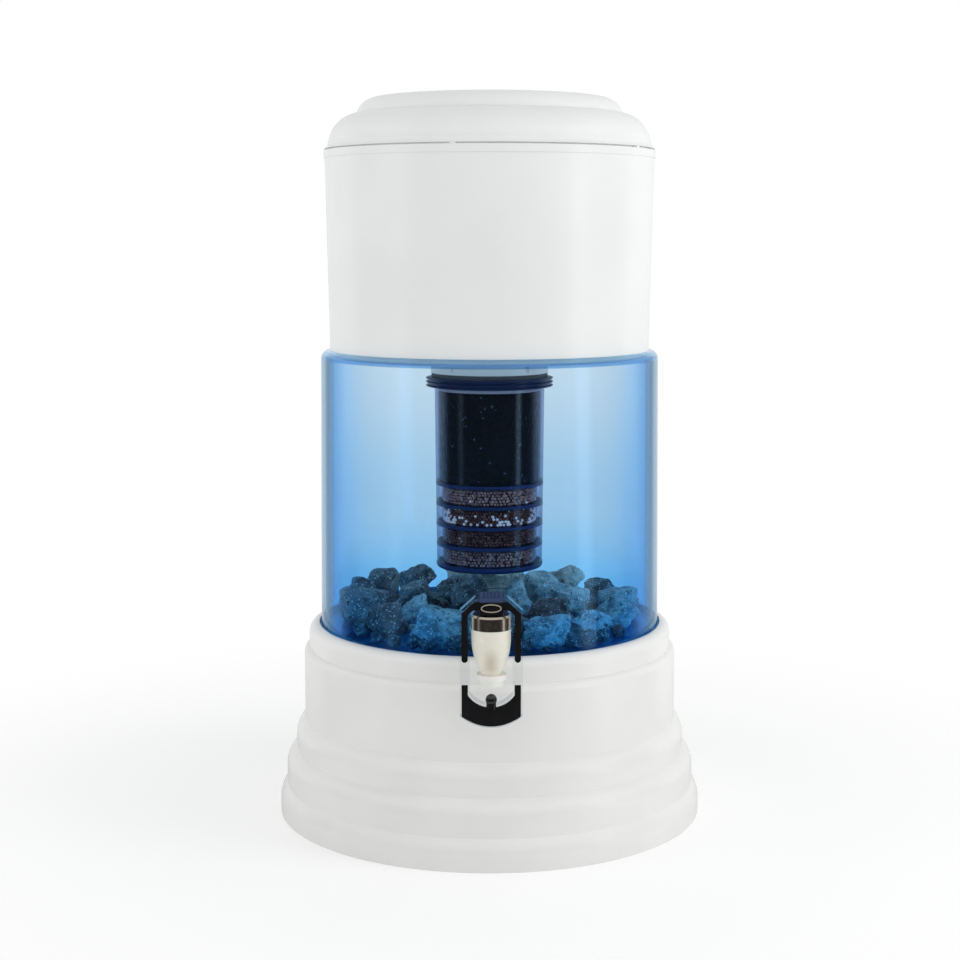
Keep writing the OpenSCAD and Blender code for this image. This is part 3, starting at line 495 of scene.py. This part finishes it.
def fired_bead(name, dark, pale, roughness=0.38, glow=0.0):
    """Fired clay or metal beads, each in its own tone; glow is a painted glow that brightens them.
    """
    board = new_finish(name)
    chance = board.noise(2.6 * MM, detail=0.0)
    base = board.tone(chance.between(0.35, 0.65), dark, pale)
    dust = board.noise(0.5 * MM, detail=2.0)
    base = board.tone(0.35 * dust.between(0.55, 0.75), base, tuple(0.5 + 0.5 * p for p in pale))
    # Painted light: the beads glow in their own colour by glow
    return board.done(board.plastic(
        base, roughness + 0.15 * dust, board.bump(dust, 0.03 * MM),
        Emission_Color=base, Emission_Strength=glow))


def carbon_grains():
    """Granular carbon: near black, each grain in its own tone, a few of them bright."""
    board = new_finish("carbon")
    grains = board.cells(1.5 * MM)
    chance = board.cells(1.5 * MM, "Color").part("X")
    base = board.tone(chance.between(0.2, 0.9), (0.002, 0.002, 0.004), (0.009, 0.010, 0.015))
    base = board.tone(chance.between(0.992, 0.995), base, (0.08, 0.10, 0.15))
    return board.done(board.plastic(
        base, 0.35 + 0.3 * chance, board.bump(grains, 0.6 * MM), Specular_IOR_Level=0.25))


def ceramic():
    """Slip-cast ceramic: chalky, with fine pores painted darker as their shade and a slightly warm
    body.
    """
    board = new_finish("ceramic_white")
    cloud = board.noise(18 * MM, detail=5.0)
    pores = board.noise(0.9 * MM, detail=6.0, coarse=0.7)
    base = board.tone(cloud.between(0.3, 0.7), (0.76, 0.74, 0.69), (0.86, 0.85, 0.81))
    # Painted shade: the pores are darker
    base = board.tone(pores.between(0.60, 0.72), base, (0.60, 0.58, 0.53))
    return board.done(board.plastic(base, 0.75 + 0.15 * pores, board.bump(pores, 0.15 * MM)))


def felt():
    """White felt: fuzzy fibres that lie level."""
    board = new_finish("felt")
    fibres = board.noise(0.4 * MM, detail=6.0, coarse=0.8, at=board.stretched((1.0, 1.0, 3.0)))
    base = board.tone(fibres, (0.62, 0.62, 0.60), (0.88, 0.88, 0.86))
    return board.done(
        board.plastic(base, 0.95, board.bump(fibres, 0.4 * MM), Sheen_Weight=0.4))


def rubber(name, colour):
    """Dull and finely speckled, for the seals and for the painted shade between the beads."""
    board = new_finish(name)
    specks = board.noise(0.6 * MM, detail=4.0)
    base = board.tone(specks.between(0.4, 0.7), colour, tuple(1.15 * part for part in colour))
    return board.done(board.plastic(base, 0.55 + 0.2 * specks, board.bump(specks, 0.03 * MM)))


def tap_cream():
    """Cream tap plastic that lets some light in: painted shade in the bell stands for its inner
    core seen dark through the wall, and the spout's flange is paler."""
    board = new_finish("tap_cream")
    cloud = board.noise(7 * MM, detail=3.0)
    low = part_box("tap_body")[0].z
    height = board.spot().part("Z")
    across = board.spot().part("X")
    # Painted shade: a darker patch low in the middle of the bell, for the core seen through the
    # wall
    above = height.between(*(low + rise for rise in TAP_CORE_SHADE_FOOT))
    below = 1.0 - height.between(*(low + rise for rise in TAP_CORE_SHADE_TOP))
    beside = 1.0 - across.maths("ABSOLUTE", across).between(0.0, TAP_CORE_SHADE_R)
    core = above * below * beside
    bell = height.between(*(low + rise for rise in TAP_FLANGE_UP))
    base = board.tone(cloud, (0.78, 0.76, 0.66), (0.86, 0.845, 0.76))
    base = board.tone(0.6 * core, base, (0.52, 0.44, 0.33))
    base = board.tone(bell, (0.86, 0.86, 0.82), base)
    skin = board.bump(board.noise(0.8 * MM), 0.004 * MM)
    return board.done(board.plastic(
        base, 0.22 + 0.08 * cloud, skin, Subsurface_Weight=0.25, Subsurface_Scale=3 * MM))


def plated(name, colour, roughness):
    """Plated metal with the faint waves and wipe marks of a thin coat."""
    board = new_finish(name)
    waves = board.noise(5 * MM, detail=2.0)
    wipes = board.noise(1.2 * MM, detail=5.0, at=board.stretched((1.0, 1.0, 0.2)))
    base = board.tone(waves, colour, tuple(0.85 * part for part in colour))
    gloss = roughness + 0.10 * wipes.between(0.45, 0.75)
    return board.done(board.plastic(base, gloss, board.bump(waves, 0.02 * MM), Metallic=1.0))


def dark_chrome():
    """Bonnet chrome, darkened as painted dark reflection; the thin ring above it on the hub is
    bright and satin.
    """
    board = new_finish("tap_chrome")
    waves = board.noise(5 * MM, detail=2.0)
    wipes = board.noise(1.2 * MM, detail=5.0, at=board.stretched((1.0, 1.0, 0.2)))
    bonnet_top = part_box("tap_bonnet")[1].z
    ring = board.spot().part("Z").between(bonnet_top, bonnet_top + 0.2 * MM)
    # Painted reflection: the chrome's colour is darkened for the dark room it mirrors
    base = board.tone(waves, (0.50, 0.45, 0.38), (0.42, 0.38, 0.32))
    base = board.tone(ring, base, (0.46, 0.43, 0.36))
    gloss = 0.20 + 0.10 * wipes.between(0.45, 0.75)
    return board.done(board.plastic(
        base, gloss, board.bump(waves, 0.01 * MM), Metallic=1.0 - 0.8 * ring))


def gloss_black():
    """Glossy black inlay; the ridged block on top of the hub is dark blue and rougher."""
    board = new_finish("lever_black")
    smears = board.noise(6 * MM, detail=4.0)
    ring_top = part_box("hub_ring")[1].z
    ridges = board.spot().part("Z").between(ring_top + 0.5 * MM, ring_top + 1.5 * MM)
    base = board.tone(smears, (0.004, 0.004, 0.005), (0.012, 0.012, 0.013))
    base = board.tone(ridges, base, (0.030, 0.060, 0.150))
    skin = board.bump(board.noise(0.9 * MM), 0.002 * MM)
    return board.done(board.plastic(
        base, 0.12 + 0.08 * smears + 0.25 * ridges, skin, Coat_Weight=0.3))


def make_finishes():
    blue = (0.013, 0.032, 0.130)
    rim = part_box("upper_tank")[1]
    return {
        # The white plastic has a painted glow in the gap under the lid
        "white_plastic": moulded("white_plastic", (0.865, 0.88, 0.875), 0.24, glow=(
            LID_GAP_PAINTED_GLOW, rim.z - LID_GAP_BELOW, rim.z + LID_GAP_ABOVE, rim.x - LID_GAP_INSIDE)),
        "stand_plastic": moulded("stand_plastic", (0.862, 0.865, 0.852), 0.24),
        "blue_clear": tank_plastic(),
        "slate": rock("rock_slate", (0.035, 0.050, 0.066), (0.190, 0.250, 0.290),
                      (0.60, 0.70, 0.72), 0.0),
        "azure": rock("rock_azure", (0.160, 0.270, 0.330), (0.520, 0.720, 0.780),
                      (0.92, 0.95, 0.95), 3.0),
        "pale": rock("rock_pale", (0.30, 0.34, 0.33), (0.62, 0.64, 0.58),
                     (0.90, 0.90, 0.86), 7.0),
        "mauve": rock("rock_mauve", (0.060, 0.045, 0.050), (0.210, 0.160, 0.170),
                      (0.60, 0.55, 0.54), 11.0),
        "ceramic_white": ceramic(),
        "dark_blue_plastic": moulded("dark_blue_plastic", blue, 0.30, variation=0.25),
        "seal_rubber": rubber("seal_rubber", (0.10, 0.10, 0.11)),
        "clear_casing": clear_plastic(
            "clear_casing", (0.90, 0.91, 0.96), (0.20, 0.25, 0.50), depth=1.0),
        "felt": felt(),
        "carbon": carbon_grains(),
        "pink_balls": fired_bead("pink_balls", (0.50, 0.23, 0.18), (0.90, 0.55, 0.44)),
        "silver_balls": fired_bead("silver_balls", (0.88, 0.86, 0.84), (0.95, 0.93, 0.91),
                                   roughness=0.25, glow=SILVER_PAINTED_GLOW),
        "red_balls": fired_bead("red_balls", (0.17, 0.045, 0.035), (0.44, 0.15, 0.10)),
        "bead_shade": rubber("bead_shade", (0.025, 0.014, 0.016)),
        "tap_cream": tap_cream(),
        "tap_chrome": dark_chrome(),
        "silicone": rubber("silicone", (0.74, 0.75, 0.75)),
        "stem_plastic": moulded("stem_plastic", (0.78, 0.77, 0.74), 0.35),
        "spring_steel": plated("spring_steel", (0.62, 0.61, 0.60), 0.22),
        "lever_clear": clear_plastic(
            "lever_clear", (0.985, 0.99, 0.995), (0.42, 0.50, 0.55), depth=0.8),
        "lever_black": gloss_black(),
    }


def dress_nodes(finishes):
    """Gives every solid of the frame the finish of its own slot."""
    for part in NODES.values():
        for index, slot in enumerate(part.material_slots):
            name = slot.material.name.split(".")[0]
            if name in finishes:
                part.data.materials[index] = finishes[name]


# ---------------------------------------------------------------- modelling helpers


def deselect():
    bpy.ops.object.select_all(action="DESELECT")


def apply_modifier(piece, kind, **settings):
    bpy.context.view_layer.objects.active = piece
    modifier = piece.modifiers.new(kind, kind)
    for name, value in settings.items():
        setattr(modifier, name, value)
    bpy.ops.object.modifier_apply(modifier=modifier.name)


def relief(name, kind, size):
    """A procedural relief for displacing a surface."""
    texture = bpy.data.textures.new(name, kind)
    texture.noise_scale = size
    return texture


def smooth(piece):
    for face in piece.data.polygons:
        face.use_smooth = True


def gathered(name, copies, finishes, body):
    """One piece made of copies of forms; copies holds (form, matrix, finish number)."""
    mesh = bmesh.new()
    for form, matrix, number in copies:
        one = form.data.copy()
        one.transform(matrix)
        for face in one.polygons:
            face.material_index = number
        mesh.from_mesh(one)
        bpy.data.meshes.remove(one)
    data = bpy.data.meshes.new(name)
    mesh.to_mesh(data)
    mesh.free()
    for finish in finishes:
        data.materials.append(finish)
    piece = bpy.data.objects.new(name, data)
    bpy.context.scene.collection.objects.link(piece)
    smooth(piece)
    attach(piece, body)
    return piece


def discard(forms):
    for form in forms:
        bpy.data.objects.remove(form)


# ---------------------------------------------------------------- mineral stones


def broken_rock(seed, grain):
    """A rock about two units across: a ball with its sides split off, lumpy and chipped."""
    chance = random.Random(seed)
    deselect()
    bpy.ops.mesh.primitive_ico_sphere_add(subdivisions=3, radius=1.0)
    form = bpy.context.object
    bpy.ops.object.mode_set(mode="EDIT")
    for _ in range(ROCK_SPLITS):
        facing = Vector([chance.gauss(0.0, 1.0) for _ in range(3)]).normalized()
        bpy.ops.mesh.select_all(action="SELECT")
        bpy.ops.mesh.bisect(
            plane_co=facing * chance.uniform(*ROCK_SPLIT_DEPTH), plane_no=facing,
            clear_outer=True, use_fill=True)
    bpy.ops.object.mode_set(mode="OBJECT")
    apply_modifier(form, "REMESH", mode="VOXEL", voxel_size=grain)
    for name, kind, size, height in ROCK_RELIEFS:
        texture = relief(name, kind, size)
        apply_modifier(form, "DISPLACE", texture=texture, strength=height, mid_level=0.5)
    bpy.ops.object.shade_smooth_by_angle(angle=math.radians(32.0))
    return form


def corners_of(points):
    """Lowest and highest corner of the box round some points."""
    return tuple(
        Vector([pick(point[axis] for point in points) for axis in range(3)]) for pick in (min, max))


def islands(node):
    """Lowest and highest corner of every separate solid in a node."""
    mesh = bmesh.new()
    mesh.from_mesh(NODES[node].data)
    bmesh.ops.remove_doubles(mesh, verts=mesh.verts, dist=0.01 * MM)
    left = set(mesh.verts)
    found = []
    while left:
        front = [left.pop()]
        island = []
        while front:
            corner = front.pop()
            island.append(corner.co.copy())
            for edge in corner.link_edges:
                other = edge.other_vert(corner)
                if other in left:
                    left.remove(other)
                    front.append(other)
        found.append(corners_of(island))
    mesh.free()
    return sorted(found, key=lambda corners: tuple(corners[0]))


def fitted(form, turn, low, high):
    """The matrix that turns a form about Z and fits its box into the box from low to high."""
    turned = Matrix.Rotation(turn, 4, "Z")
    first, last = corners_of([turned @ vertex.co for vertex in form.data.vertices])
    centred = Matrix.Translation(-(first + last) / 2.0) @ turned
    scale = [(high[axis] - low[axis]) / (last[axis] - first[axis]) for axis in range(3)]
    return Matrix.Translation((low + high) / 2.0) @ Matrix.Diagonal((*scale, 1.0)) @ centred


def stone_tone(place):
    """The rock that lies at a place on the tank floor: the tone of the nearest listed spot."""
    return min(STONE_TONES, key=lambda spot: math.hypot(place.x - spot[1], place.y - spot[2]))[0]


def keep_within(piece, radius):
    """Presses what reaches past a radius flat against the wall there."""
    for vertex in piece.data.vertices:
        reach = math.hypot(vertex.co.x, vertex.co.y)
        if reach > radius:
            vertex.co.x *= radius / reach
            vertex.co.y *= radius / reach


def fill_stones(finishes):
    """Rough stones on the tank floor, with pebbles in the gaps between them and along the front."""
    chance = random.Random(5)
    rocks = [broken_rock(seed, ROCK_GRAIN) for seed in range(ROCK_FORMS)]
    pebbles = [broken_rock(seed, PEBBLE_GRAIN) for seed in range(ROCK_FORMS)]
    grow = Vector((STONE_GROWTH, STONE_GROWTH, 0.0))
    copies = []
    for count, (low, high) in enumerate(islands("mineral_stones")):
        inward = Vector((-STONE_PULL * (low.x + high.x) / 2.0, 0.0, 0.0))
        low, high = low + inward, high + inward
        form = rocks[count % ROCK_FORMS]
        matrix = fitted(form, chance.uniform(0.0, math.tau), low - grow, high + grow)
        copies.append((form, matrix, STONE_KINDS.index(stone_tone((low + high) / 2.0))))
    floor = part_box("mineral_stones")[0].z
    for ring, (ring_r, number) in enumerate(PEBBLE_RINGS):
        for place in range(number):
            angle = (place + chance.uniform(-0.2, 0.2)) * math.tau / number
            if ring == 0 and math.sin(angle) > FRONT_SINE:
                continue
            size = PEBBLE_R * chance.uniform(*PEBBLE_SPREAD)
            low = Vector((ring_r * math.cos(angle) - size, ring_r * math.sin(angle) - size, floor))
            high = low + Vector((2.0 * size, 2.0 * size, 1.7 * size))
            form = pebbles[(place * 3) % ROCK_FORMS]
            kind = chance.choice(FRONT_KINDS if ring == 0 else STONE_KINDS)
            copies.append((form, fitted(form, angle, low, high), STONE_KINDS.index(kind)))
    stones = gathered("stones", copies, [finishes[kind] for kind in STONE_KINDS],
                      "lower_vessel")
    keep_within(stones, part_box("mineral_stones")[1].x + WALL_GAP)
    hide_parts("mineral_stones")
    discard(rocks + pebbles)


# ---------------------------------------------------------------- cartridge fills


def bead_form():
    """A bead one unit in radius."""
    deselect()
    bpy.ops.mesh.primitive_uv_sphere_add(segments=BEAD_SIDES, ring_count=BEAD_RINGS, radius=1.0)
    return bpy.context.object


def core_form():
    """The middle of a bead bed, a drum one unit in radius and height."""
    deselect()
    bpy.ops.mesh.primitive_cylinder_add(vertices=64, radius=1.0, depth=1.0)
    form = bpy.context.object
    apply_modifier(form, "BEVEL", width=0.04, segments=2)
    return form


def bead_bed(name, node, finishes, odd_share, seed, side_share=0.0):
    """A bed of beads: rows of balls against the wall and rings of them on top, round a core in
    painted shade.

    finishes holds the main finish, the one for the odd beads and the core's painted shade. The odd
    beads lie low in the bed and, by side_share, heaped at its left and right.
    """
    chance = random.Random(seed)
    low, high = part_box(node)
    bed_r = high.x - BED_GAP
    bead, core = bead_form(), core_form()
    top = BEAD_ROWS - 1
    copies = []
    for depth in range(TOP_RINGS):
        ring_r = bed_r - BEAD_R - depth * RING_STEP
        number = int(math.tau * ring_r / BEAD_GAP)
        for row in range(0 if depth < WALL_RINGS else top, BEAD_ROWS):
            share = row / top
            height = low.z + BEAD_R + row * BEAD_RISE - 0.5 * BEAD_RISE * (depth % 2)
            for place in range(number):
                angle = (place + 0.5 * (row % 2) + chance.uniform(-0.2, 0.2)) * math.tau / number
                size = BEAD_R * chance.uniform(0.88, 1.0)
                reach = ring_r + (BEAD_R - size) - chance.uniform(0.0, 0.4) * MM
                at = Vector((reach * math.cos(angle), reach * math.sin(angle),
                             max(height + chance.uniform(-0.2, 0.3) * MM, low.z + BEAD_R)))
                low_down = odd_share * (1.0 - share) ** 1.5
                heaped = side_share * (abs(at.x) / bed_r) ** 6.0
                matrix = Matrix.Translation(at) @ Matrix.Rotation(
                    chance.uniform(0.0, math.tau), 4, "X") @ Matrix.Scale(size, 4)
                copies.append((bead, matrix, int(chance.random() < low_down + heaped)))
    core_h = BEAD_R + top * BEAD_RISE
    middle = Matrix.Translation((0.0, 0.0, low.z + core_h / 2.0))
    size = Matrix.Diagonal((bed_r - CORE_INSET, bed_r - CORE_INSET, core_h, 1.0))
    # The core's finish is painted shade for the dark between the beads
    copies.append((core, middle @ size, 2))
    bed = gathered(name, copies, finishes, "upper_vessel")
    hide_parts(node)
    discard([bead, core])


def carbon_charge(finish):
    """Granular carbon: a drum, a little narrower at its foot, with a coarse grained skin."""
    low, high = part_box("carbon_bed")
    middle = (low.z + high.z) / 2.0
    deselect()
    bpy.ops.mesh.primitive_cylinder_add(
        vertices=96, radius=high.x - CARBON_SIDE_GAP,
        depth=high.z - low.z - 2.0 * CARBON_END_GAP, location=(0.0, 0.0, middle))
    charge = bpy.context.object
    charge.name = "carbon_grains"
    bpy.ops.object.transform_apply(location=True, rotation=True, scale=True)
    bpy.ops.object.mode_set(mode="EDIT")
    bpy.ops.mesh.select_all(action="DESELECT")
    bpy.ops.object.mode_set(mode="OBJECT")
    for vertex in charge.data.vertices:
        vertex.select = vertex.co.z < middle
    bpy.ops.object.mode_set(mode="EDIT")
    bpy.ops.transform.resize(
        value=(CARBON_DRAW, CARBON_DRAW, 1.0), center_override=(0.0, 0.0, low.z))
    bpy.ops.object.mode_set(mode="OBJECT")
    apply_modifier(charge, "REMESH", mode="VOXEL", voxel_size=CARBON_VOXEL)
    grains = relief("carbon_relief", "VORONOI", CARBON_GRAIN)
    apply_modifier(charge, "DISPLACE", texture=grains, strength=-CARBON_RELIEF, mid_level=0.0)
    smooth(charge)
    charge.data.materials.append(finish)
    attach(charge, "upper_vessel")
    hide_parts("carbon_bed")


# ---------------------------------------------------------------- valve spring


def spring_coil(finish):
    """A copy of the valve spring with its finish, put in place of the frame's."""
    source = NODES["valve_spring"]
    data = source.data.copy()
    data.transform(source.matrix_world)
    data.materials.clear()
    data.materials.append(finish)
    coil = bpy.data.objects.new("spring_coil", data)
    bpy.context.scene.collection.objects.link(coil)
    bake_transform(coil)
    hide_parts("valve_spring")


# ---------------------------------------------------------------- scene

deselect()
place_camera()
studio_world()
studio_floor()
softbox("right_softbox", *RIGHT_LAMP)
softbox("left_softbox", *LEFT_LAMP)
bpy.context.scene.view_settings.view_transform = "Standard"
bpy.context.scene.cycles.transparent_max_bounces = SEE_THROUGH_BOUNCES

finishes = make_finishes()
dress_nodes(finishes)
fill_stones(finishes)
red, pink, white, shade = (
    finishes[name] for name in ("red_balls", "pink_balls", "silver_balls", "bead_shade"))
bead_bed("beads_upper", "mineral_bed_upper", [pink, white, shade], 0.04, 1)
bead_bed("beads_silver", "silver_bead_bed", [red, white, shade], 0.50, 2, 0.9)
bead_bed("beads_middle", "mineral_bed_middle", [red, pink, shade], 0.10, 3)
bead_bed("beads_lower", "mineral_bed_lower", [pink, red, shade], 0.15, 4)
carbon_charge(finishes["carbon"])
spring_coil(finishes["spring_steel"])
